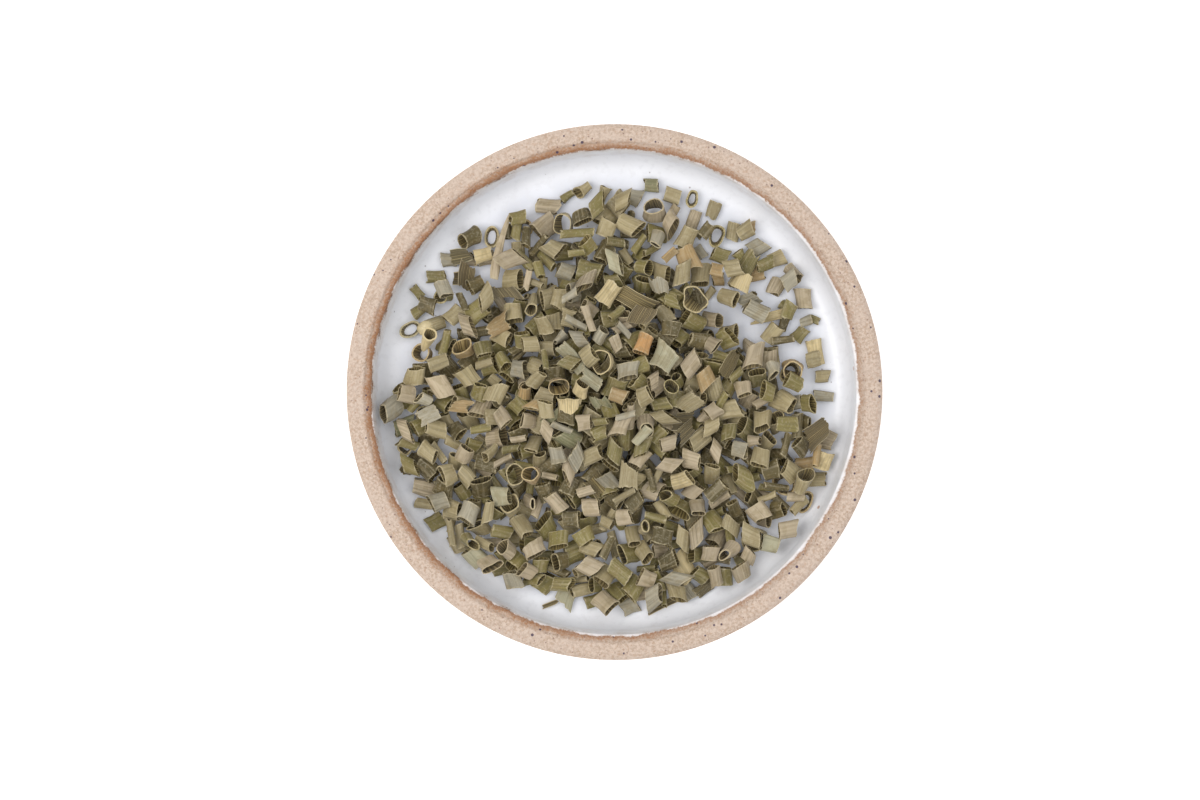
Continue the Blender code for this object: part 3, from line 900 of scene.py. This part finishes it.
def dress_leaf_tip():
    """Replaces the plain leaf tip, whose point is where its section is narrowest."""
    middle, spread, directions = principal("leaf_tip")
    axes = directions[[2, 1, 0]]
    ends = spread @ axes[0]
    narrow = np.ptp((spread @ axes[1])[ends > ends.max() - 0.5]) < 0.5
    axes[0] *= 1 if narrow else -1
    axes[2] *= np.sign(axes[2, 2])
    axes[1] = np.cross(axes[2], axes[0])
    length = np.ptp(ends)
    shapes = {"width": np.array([2.1]), "height": np.array([1.1]), "length": np.array([length])}
    tint = np.array([LEAF_COLOURS["taupe"]]) * 1.15
    group = group_of(tip_points(length, *TIP_GRID) @ axes + middle, shapes, tint, np.array([0.37]))
    made = leaf_mesh("rolled_leaf_tip", [group])
    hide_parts("leaf_tip")


dress_leaf_tip()
print("the leaf tip is rolled")

# %% Slice the stalk
PITH = (1.0, 0.86, 0.56)
STALK_AROUND, STALK_ROWS = 28, 4


def dress_stalk():
    """A solid slice: its lining is drawn together to the middle of each end face, which makes the pith."""
    middle, axes, (length, width, height) = node_pose("stalk_slice")
    axes = axes * np.sign([[axes[0, 0]], [axes[0, 0]], [1.0]])
    lots = np.random.default_rng(8)
    shapes = draw_shapes(lots, ["round"])
    set_by_hand(shapes, length=length, width=width, height=height, power=2.0, slant=0.8, second_slant=0.05)
    set_by_hand(shapes, fray=0.03, slant_turn=math.pi / 2, tapers=np.zeros((1, 2)), twist=0.0)
    points = cutting_points(lots, shapes, STALK_AROUND, STALK_ROWS)
    lining = points[:, STALK_ROWS:]
    hub = lining.mean(axis=2, keepdims=True)
    shrink = np.array([0.04, 0.03, 0.03, 0.04])[None, :, None, None]
    points[:, STALK_ROWS:] = hub + (lining - hub) * shrink
    points[:, STALK_ROWS:, :, 0] += np.array([-0.10, 0.0, 0.0, 0.10])[None, :, None]
    tints = np.array([LEAF_COLOURS["khaki"], PITH], float).repeat(STALK_ROWS * STALK_AROUND, axis=0)
    group = group_of(points @ axes + middle, shapes, tints, np.array([0.71]))
    made = leaf_mesh("stalk_with_pith", [group])
    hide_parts("stalk_slice")


dress_stalk()
print("the stalk is sliced")

# %% [markdown]
# ## Heaping the cuttings
#
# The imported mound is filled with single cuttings, dropped one after another onto a height map of
# all that lies in the dish so far. Each goes where the heap falls short the most, takes the lowest of
# a few poses, and raises the map.

# %% Map the heights of the empty dish and of what lies apart
CELL = 0.2
MAP_REACH = 48.0
MAP_SIDE = int(2 * MAP_REACH / CELL)
SAMPLE_STEPS = 12
OUT_OF_REACH = 60.0


def dish_heights():
    """Height of the dish's inside over the map: the floor, the cove's quarter circle, and a high wall."""
    middle = (np.arange(MAP_SIDE) + 0.5) * CELL - MAP_REACH
    radius = np.hypot(middle[:, None], middle[None, :])
    run = np.clip(radius - (COVE_OUTER_RADIUS - COVE_ROUND), 0, COVE_ROUND)
    heights = FLOOR_HEIGHT + GLAZE_THICKNESS + COVE_ROUND - np.sqrt(COVE_ROUND**2 - run**2)
    return np.where(radius > COVE_OUTER_RADIUS - 0.5, OUT_OF_REACH, heights)


def cells_of(points):
    """Row and column numbers of the map cells under points."""
    cells = ((points[..., :2] + MAP_REACH) / CELL).astype(int).clip(0, MAP_SIDE - 1)
    return cells[..., 0], cells[..., 1]


def raise_map(heights, points):
    """Lifts the map to points that lie above it."""
    np.maximum.at(heights, cells_of(points), points[..., 2])


def triangle_samples(name):
    """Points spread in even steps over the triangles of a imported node."""
    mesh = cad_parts[name].data
    mesh.calc_loop_triangles()
    index = np.zeros(len(mesh.loop_triangles) * 3, np.int32)
    mesh.loop_triangles.foreach_get("vertices", index)
    triangles = vertices_of(mesh)[index.reshape(-1, 3)] / MM
    steps = np.arange(SAMPLE_STEPS + 1) / SAMPLE_STEPS
    a, b = np.meshgrid(steps, steps)
    keep = a + b <= 1
    weights = np.stack([a[keep], b[keep], 1 - a[keep] - b[keep]], axis=-1)
    return np.einsum("wc,tcx->twx", weights, triangles).reshape(-1, 3)


heights = dish_heights()
apart = [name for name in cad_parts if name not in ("stoneware_dish", "chive_heap")]
for name in sorted(apart):
    raise_map(heights, triangle_samples(name))
print("height map of", MAP_SIDE, "x", MAP_SIDE, "cells, with", len(apart), "pieces on it")

# %% Read the mound's top
DENSE_EDGE = (
    37, 26.5, 24.5, 24, 25, 33.5, 36, 35, 33.5, 32.5, 34, 37.5,
    41, 41.5, 41.5, 41, 40.5, 40, 39.5, 40.5, 40.8, 40.8, 41, 40.5,
)  # fmt: skip
WIDE_CELL = 2.0
THIN_LAYER = 3.3
MOUND_SHORTENING = 2.6
CLEARANCE = 2.6


def dense_radius(bearing):
    """How far out cuttings cover the floor, from one value for each 15 degrees of bearing."""
    stations = np.arange(len(DENSE_EDGE) + 1) * math.tau / len(DENSE_EDGE)
    return np.interp(bearing % math.tau, stations, [*DENSE_EDGE, DENSE_EDGE[0]])


def mound_heights():
    """How high the heap is to reach, over a map with wide cells, and zero where nothing is to lie.

    That is the mound's top less what stands proud of it, or one thin layer out to the dense edge.
    """
    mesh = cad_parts["chive_heap"].data
    faces = [tuple(face.vertices) for face in mesh.polygons]
    tree = BVHTree.FromPolygons([vertex.co / MM for vertex in mesh.vertices], faces)
    side = int(2 * MAP_REACH / WIDE_CELL)
    tops = np.zeros((side, side))
    for row, column in np.ndindex(side, side):
        x, y = (row + 0.5) * WIDE_CELL - MAP_REACH, (column + 0.5) * WIDE_CELL - MAP_REACH
        hit = tree.ray_cast(Vector((x, y, OUT_OF_REACH)), Vector((0, 0, -1)))[0]
        if math.hypot(x, y) < dense_radius(math.atan2(y, x)):
            tops[row, column] = FLOOR_HEIGHT + THIN_LAYER
        if hit:
            tops[row, column] = max(hit.z - MOUND_SHORTENING, tops[row, column])
    return tops


def keep_clear(mound, name):
    """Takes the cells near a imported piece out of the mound."""
    cells = np.argwhere(mound)
    outline = vertices_of(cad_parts[name].data)[:, :2].astype(float) / MM
    gaps = np.linalg.norm(((cells + 0.5) * WIDE_CELL - MAP_REACH)[:, None] - outline[None], axis=-1)
    rows, columns = cells[gaps.min(axis=1) < CLEARANCE].T
    mound[rows, columns] = 0


mound = mound_heights()
for name in ("leaf_tip", "stalk_slice"):
    keep_clear(mound, name)
print("the mound's top is", round(mound.max(), 2), "mm high")

# %% Find the lowest resting pose
SINK = 0.12
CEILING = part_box("chive_heap")[1].z / MM + 0.3
PASSING_COSTS = 20
HEADING_SPREAD = 0.06
ROLL_SPREAD = 13
SKIN_STATIONS = 15
SKIN_STEPS = 3


def pose_matrices(lots, tilt_low, tilt_high, count, full_roll, heading=None):
    """Turns of a cutting as matrices: a given or any heading, a tilt, and a roll about its length."""
    any_heading = heading is None
    heading = lots.uniform(0, math.tau, count) if any_heading else lots.normal(heading, HEADING_SPREAD, count)
    tilt = np.radians(lots.uniform(tilt_low, tilt_high, count)) * lots.choice([-1, 1], count)
    roll = np.radians(lots.uniform(0, 360, count) if full_roll else lots.normal(0, ROLL_SPREAD, count))
    roll = roll + lots.choice([0, math.pi], count)
    one, zero = np.ones(count), np.zeros(count)
    ch, sh, ct, st, cr, sr = (f(a) for a in (heading, tilt, roll) for f in (np.cos, np.sin))
    about_z = np.stack([ch, -sh, zero, sh, ch, zero, zero, zero, one], axis=-1).reshape(-1, 3, 3)
    about_y = np.stack([ct, zero, st, zero, one, zero, -st, zero, ct], axis=-1).reshape(-1, 3, 3)
    about_x = np.stack([one, zero, zero, zero, cr, -sr, zero, sr, cr], axis=-1).reshape(-1, 3, 3)
    return about_z @ about_y @ about_x


def rest_cutting(heights, samples, matrices, places, ceiling):
    """Lowers a cutting in each pose onto the map and takes the lowest: skin, matrix, middle and excess.

    Leaf gives a little, so it sinks in by a trace. The excess is how far it passes the ceiling.
    """
    turned = np.einsum("kij,mj->kmi", matrices, samples)
    turned[..., :2] += places[:, None, :]
    lift = (heights[cells_of(turned)] - turned[..., 2]).max(axis=1) - SINK
    excess = np.maximum(turned[..., 2].max(axis=1) + lift - ceiling, 0)
    best = int(np.argmin(lift + PASSING_COSTS * excess))
    settled = turned[best]
    settled[:, 2] += lift[best]
    return settled, matrices[best], np.array([*places[best], lift[best]]), excess[best]


def skin_samples(points, rows):
    """Dense points on each cutting's skin, by straight steps between its grid points."""
    skin = points[:, :rows]
    stations = np.linspace(0, rows - 1, SKIN_STATIONS)
    low = np.minimum(stations.astype(int), rows - 2)
    share = (stations - low)[None, :, None, None]
    lengthwise = skin[:, low] * (1 - share) + skin[:, low + 1] * share
    after = np.roll(lengthwise, -1, axis=2)
    steps = (np.arange(SKIN_STEPS) / SKIN_STEPS)[:, None, None, None, None]
    round_leaf = lengthwise * (1 - steps) + after * steps
    return np.moveaxis(round_leaf, 0, 1).reshape(len(points), -1, 3)


print("a cutting sinks in by", SINK, "mm")

# %% [markdown]
# ## Filling the mound
#
# First strays are laid round the heap one by one. Then it grows in layers: a flat carpet that hides the
# floor, a coarse bed, a few chosen pieces of the crown, and the finer cover, which is what is seen.
# A grid below is the number of points round a cutting and of rows along it.

# %% Choose what lies where
CARPET = 1.7
CARPET_KINDS = {"pressed": 0.6, "thin": 0.4}
BED_KINDS = {"pressed": 0.7, "round": 0.3}
COVER_KINDS = {
    "pressed": 0.33, "round": 0.25, "upright": 0.17, "slanted": 0.13, "thin": 0.03, "split": 0.06,
    "shred": 0.03,
}  # fmt: skip
COVER_COLOURS = {
    "taupe": 0.33, "grey": 0.19, "khaki": 0.24, "olive": 0.14, "dark": 0.03, "green": 0.03, "sage": 0.02,
    "tan": 0.02, "straw": 0.01,
}  # fmt: skip
# Painted shade: the carpet and bed take a darker mix of leaf colours, which stands in for the shade in the
# heap's gaps.
UNDER_LAYER_PAINTED_SHADE_COLOURS = {"taupe": 0.08, "khaki": 0.27, "olive": 0.36, "dark": 0.29}
ROLLING = ("round", "upright")
COARSE_GRID = (12, 3)
COVER_GRID = (16, 3)
STRAY_GRID = (20, 3)
CROWN_GRID = (24, 4)
STRAYS = """
thin 11.5 35.7 60 4 1.8 3.4 taupe
pressed 14.4 30.3 60 8 3.2 4.2 khaki
pressed 18.0 31.6 50 8 2.4 3.0 dark
shred 26.5 25.1 60 8 3.6 5.0 olive
pressed 29.2 25.0 20 6 2.6 3.2 olive
split 24.8 21.7 70 8 3.4 3.2 straw
shred 26.2 18.2 25 6 4.0 3.4 grey
pressed 30.2 6.0 80 6 3.4 4.2 taupe
round 35.0 4.6 80 70 3.6 3.0 tan
shred 30.7 14.3 15 6 2.4 5.6 straw
pressed 30.9 12.0 60 10 3.2 3.8 khaki
pressed 27.6 15.8 -30 8 3.4 4.4 grey
round 22.8 18.8 -20 45 3.2 3.6 khaki
pressed 20.9 21.9 10 6 2.4 2.2 tan
pressed 23.6 23.9 10 8 3.0 3.2 khaki
round 17.3 22.6 80 20 3.6 4.0 khaki
split 14.6 26.4 -70 12 4.0 4.6 tan
thin 11.4 27.0 45 6 1.7 3.2 tan
pressed 20.3 24.2 -10 6 2.6 2.4 tan
pressed 25.6 31.8 30 6 3.0 3.2 khaki
pressed 34.6 21.6 40 6 3.0 3.0 grey
pressed 34.2 16.4 70 6 2.6 3.2 olive
pressed 37.6 13.9 20 6 2.0 2.4 grey
thin 33.4 10.2 5 4 1.4 4.4 dark
pressed 38.6 6.6 10 6 3.0 2.8 khaki
pressed -13.9 32.3 40 8 4.0 4.2 taupe
round -9.8 33.0 20 66 4.2 2.4 khaki
thin -7.5 31.2 10 4 1.7 6.6 olive
shred -30.2 26.6 10 8 3.4 3.8 sage
split -26.3 26.9 12 8 2.6 3.6 straw
shred -29.0 22.6 80 8 3.4 4.8 taupe
pressed -36.4 17.0 -20 8 2.8 3.4 dark
pressed -31.5 15.2 35 8 3.2 3.8 khaki
thin -18.9 31.9 80 6 1.8 3.4 olive
pressed -18.6 33.6 15 8 2.6 3.0 olive
round -33.2 19.9 -60 30 2.8 3.2 grey
pressed -41.0 -6.7 15 8 3.4 4.0 green
round -38.0 -4.6 20 68 3.2 2.6 dark
shred -39.8 -13.6 60 8 4.0 4.8 khaki
pressed -37.0 -18.5 -20 8 3.4 4.5 taupe
pressed -35.0 -26.2 30 8 3.0 3.4 olive
pressed -30.5 -29.8 -60 8 3.0 3.6 khaki
pressed -27.5 -32.7 -40 8 3.6 3.8 sage
pressed -22.5 -35.2 10 8 2.6 4.0 olive
pressed -13.4 -37.4 40 8 3.4 4.0 olive
shred -10.0 -40.0 70 8 3.6 4.0 sage
round -6.5 -38.9 10 20 2.4 4.0 khaki
pressed -3.5 -41.2 20 8 2.4 3.6 olive
pressed 3.0 -41.6 15 8 3.0 3.2 grey
round 6.0 -39.2 10 20 3.4 4.6 taupe
pressed 14.6 -39.2 -50 8 3.2 3.6 grey
shred 17.4 -38.2 35 8 3.4 4.4 dark
split 13.5 -34.6 -60 10 4.0 5.8 straw
pressed 25.8 -33.2 25 8 3.2 3.8 olive
round 27.8 -28.6 70 66 4.6 2.6 khaki
pressed 30.4 -29.4 -20 8 3.2 3.4 sage
pressed 34.0 -27.3 10 8 3.2 3.6 taupe
pressed 39.5 -17.8 10 8 3.0 4.2 khaki
split 37.0 -14.8 15 8 3.0 4.0 tan
pressed 41.0 -13.6 70 8 3.0 3.4 straw
pressed 40.8 -8.8 -20 8 4.0 4.8 taupe
round 35.4 -2.6 10 25 3.0 4.0 grey
"""
CROWN = """
round 5.2 9.0 -110 30 2.8 3.8 orange
shred 4.0 17.6 -25 8 3.6 7.0 straw
split -0.8 18.6 50 14 3.4 4.6 straw
round -6.5 0.8 80 40 2.8 2.8 straw
round 15.6 18.3 60 68 4.8 2.8 khaki
shred -8.0 6.6 -50 8 3.0 6.6 sage
shred -4.6 2.4 -40 8 2.8 4.4 sage
round -2.5 5.5 10 66 4.4 1.9 straw
round -19.8 -16.3 20 70 4.4 2.4 khaki
round -16.3 -16.5 -30 68 3.4 2.4 tan
round -11.0 1.2 -70 60 3.6 2.2 tan
split 9.6 6.4 70 8 4.4 4.8 sage
"""
print("strays round the heap:", len(STRAYS.split("\n")) - 2)

# %% Find places, and make cuttings ready to drop
PLACES_TRIED = 20
NEARBY = (-0.8, 0, 0.8)


def choose(lots, shares, count):
    """Names drawn by their shares."""
    names = list(shares)
    share = np.array([shares[name] for name in names])
    return [names[number] for number in lots.choice(len(names), count, p=share / share.sum())]


def next_place(lots, heights, mound, short_by):
    """The place, of a number tried by chance, where the heap falls short of the mound the most."""
    rows, columns = np.nonzero(mound)
    pick = lots.integers(0, len(rows), PLACES_TRIED)
    corners = np.stack([rows[pick], columns[pick]], axis=-1) * WIDE_CELL
    places = corners + lots.uniform(0, WIDE_CELL, (PLACES_TRIED, 2)) - MAP_REACH
    around = np.array([(x, y) for x in NEARBY for y in NEARBY])
    reached = heights[cells_of(places[:, None, :] + around[None])].mean(axis=1)
    short = mound[rows[pick], columns[pick]] - reached
    best = int(np.argmax(short))
    return places[best] if short[best] > short_by else None


def prepare(lots, kinds, count, grid):
    """Cuttings of kinds drawn by their shares: tubes in one group, open ones in another."""
    groups = []
    names = choose(lots, kinds, count)
    for closed in (True, False):
        chosen = [kind for kind in names if (kind not in OPEN_SWEEPS) == closed]
        if chosen:
            shapes = draw_shapes(lots, chosen)
            groups.append({"kinds": chosen, "shapes": shapes, "closed": closed, "used": []})
            groups[-1]["points"] = cutting_points(lots, shapes, *grid)
            groups[-1]["samples"] = skin_samples(groups[-1]["points"], grid[1])
    return groups


def colour_up(lots, group, colours):
    """The used cuttings of a group, each in its place, with tints by chance."""
    items, matrices, middles = zip(*group["used"])
    items = list(items)
    turned = np.einsum("nij,nrcj->nrci", matrices, group["points"][items])
    points = turned + np.array(middles)[:, None, None, :]
    tints = np.array([LEAF_COLOURS[name] for name in choose(lots, colours, len(items))])
    tints = tints * lots.normal(1.0, 0.10, (len(items), 1))
    shapes = {field: group["shapes"][field][items] for field in ("width", "height", "length")}
    return group_of(points, shapes, tints, lots.random(len(items)), group["closed"])


print("each cutting has the choice of", PLACES_TRIED, "places")

# %% Drop a layer of cuttings, or lay them one by one
POSES_TRIED = 6
MISSES_ALLOWED = 60
ROAM = 0.9
ROAM_BY_HAND = 0.25
TILT_BY_HAND = 4
LOW_CEILING = FLOOR_HEIGHT + 7.0
FLAT_BELOW_TILT = 50
TALLEST_WHEN_FLAT = 2.4


def heap_up(lots, heights, mound, name, kinds, colours, grid, count, short_by, proud):
    """Drops cuttings until the heap falls short of the mound by no more than the given depth.

    One that can't stay under its ceiling, which is the mound plus `proud` or the low one, is left out.
    """
    groups = prepare(lots, kinds, count, grid)
    order = [(number, item) for number, group in enumerate(groups) for item in range(len(group["kinds"]))]
    lots.shuffle(order)
    misses = 0
    for number, item in order:
        place = next_place(lots, heights, mound, short_by)
        if place is None:
            misses += 1
            if misses > MISSES_ALLOWED:
                break
            continue
        group = groups[number]
        kind = group["kinds"][item]
        matrices = pose_matrices(lots, *SHAPE_RANGES[kind]["tilt"], POSES_TRIED, kind in ROLLING)
        places = place + lots.normal(0, ROAM, (POSES_TRIED, 2))
        aim = mound[tuple(((place + MAP_REACH) / WIDE_CELL).astype(int))]
        ceiling = min(max(aim + proud, LOW_CEILING), CEILING)
        settled, *pose, excess = rest_cutting(heights, group["samples"][item], matrices, places, ceiling)
        if excess == 0:
            raise_map(heights, settled)
            group["used"].append((item, *pose))
    print(name, "holds", sum(len(group["used"]) for group in groups), "cuttings")
    return leaf_mesh(name, [colour_up(lots, group, colours) for group in groups])


def lay_by_hand(lots, heights, name, pieces, grid):
    """Lowers single cuttings at chosen places, one after another, and joins them in one mesh.

    A line gives kind, x, y, heading, tilt, width, length and colour, in millimetres and degrees.
    """
    groups = []
    for line in pieces.strip().splitlines():
        kind, *numbers, colour = line.split()
        x, y, heading, tilt, width, length = (float(number) for number in numbers)
        shapes = draw_shapes(lots, [kind])
        set_by_hand(shapes, width=width, length=length)
        tallest = TALLEST_WHEN_FLAT if tilt < FLAT_BELOW_TILT else width
        shapes["height"] = np.minimum(shapes["flat"] * width, tallest)
        points = cutting_points(lots, shapes, *grid)
        tilts = (tilt - TILT_BY_HAND, tilt + TILT_BY_HAND)
        matrices = pose_matrices(lots, *tilts, POSES_TRIED, False, math.radians(heading))
        places = np.array([x, y]) + lots.normal(0, ROAM_BY_HAND, (POSES_TRIED, 2))
        samples = skin_samples(points, grid[1])[0]
        settled, matrix, middle, _ = rest_cutting(heights, samples, matrices, places, CEILING)
        raise_map(heights, settled)
        tint = loose_tint(lots, colour)
        closed = kind not in OPEN_SWEEPS
        groups.append(group_of(points @ matrix.T + middle, shapes, tint, lots.random(1), closed))
    return leaf_mesh(name, groups)


print("a cutting tries", POSES_TRIED, "poses")

# %% Fill the mound
lots = np.random.default_rng(12)
carpet_tops = np.where(mound > FLOOR_HEIGHT + CARPET, FLOOR_HEIGHT + CARPET, 0.0)
carpet_aims = {"grid": COARSE_GRID, "count": 1400, "short_by": 0.7, "proud": 0.0}
bed_aims = {"grid": COARSE_GRID, "count": 1800, "short_by": 2.8, "proud": 0.0}
cover_aims = {"grid": COVER_GRID, "count": 2400, "short_by": 0.3, "proud": 2.0}
strays = lay_by_hand(lots, heights, "heap_strays", STRAYS, STRAY_GRID)
carpet = heap_up(lots, heights, carpet_tops, "heap_carpet", CARPET_KINDS, UNDER_LAYER_PAINTED_SHADE_COLOURS, **carpet_aims)
bed = heap_up(lots, heights, mound, "heap_bed", BED_KINDS, UNDER_LAYER_PAINTED_SHADE_COLOURS, **bed_aims)
crown = lay_by_hand(lots, heights, "heap_crown", CROWN, CROWN_GRID)
cover = heap_up(lots, heights, mound, "heap_cover", COVER_KINDS, COVER_COLOURS, **cover_aims)
for piece in (strays, carpet, bed, cover, crown):
    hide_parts("chive_heap")

# %% [markdown]
# ## The table
#
# The dish stands on a plain, nearly white sheet with a faint painted glow, which lifts it to white where the
# dish's shadow falls.

# %% Lay the table
TABLE_SIDE = 3.0
TABLE_COLOUR = (0.95, 0.95, 0.95, 1.0)
# Painted light: the sheet glows though it is no lamp, which whitens the dish's shadow on it.
TABLE_PAINTED_GLOW = {"Emission_Color": (1.0, 1.0, 1.0, 1.0), "Emission_Strength": 0.35}


def lay_table():
    """A flat sheet under the dish."""
    finish = Finish("pale_table", Roughness=0.9, Base_Color=TABLE_COLOUR, **TABLE_PAINTED_GLOW)
    mesh = bpy.data.meshes.new("table")
    half = TABLE_SIDE / 2
    corners = [(-half, -half, 0.0), (half, -half, 0.0), (half, half, 0.0), (-half, half, 0.0)]
    mesh.from_pydata(corners, [], [(0, 1, 2, 3)])
    mesh.materials.append(finish.material)
    table = bpy.data.objects.new("table", mesh)
    bpy.context.scene.collection.objects.link(table)


lay_table()
print("the table is laid")
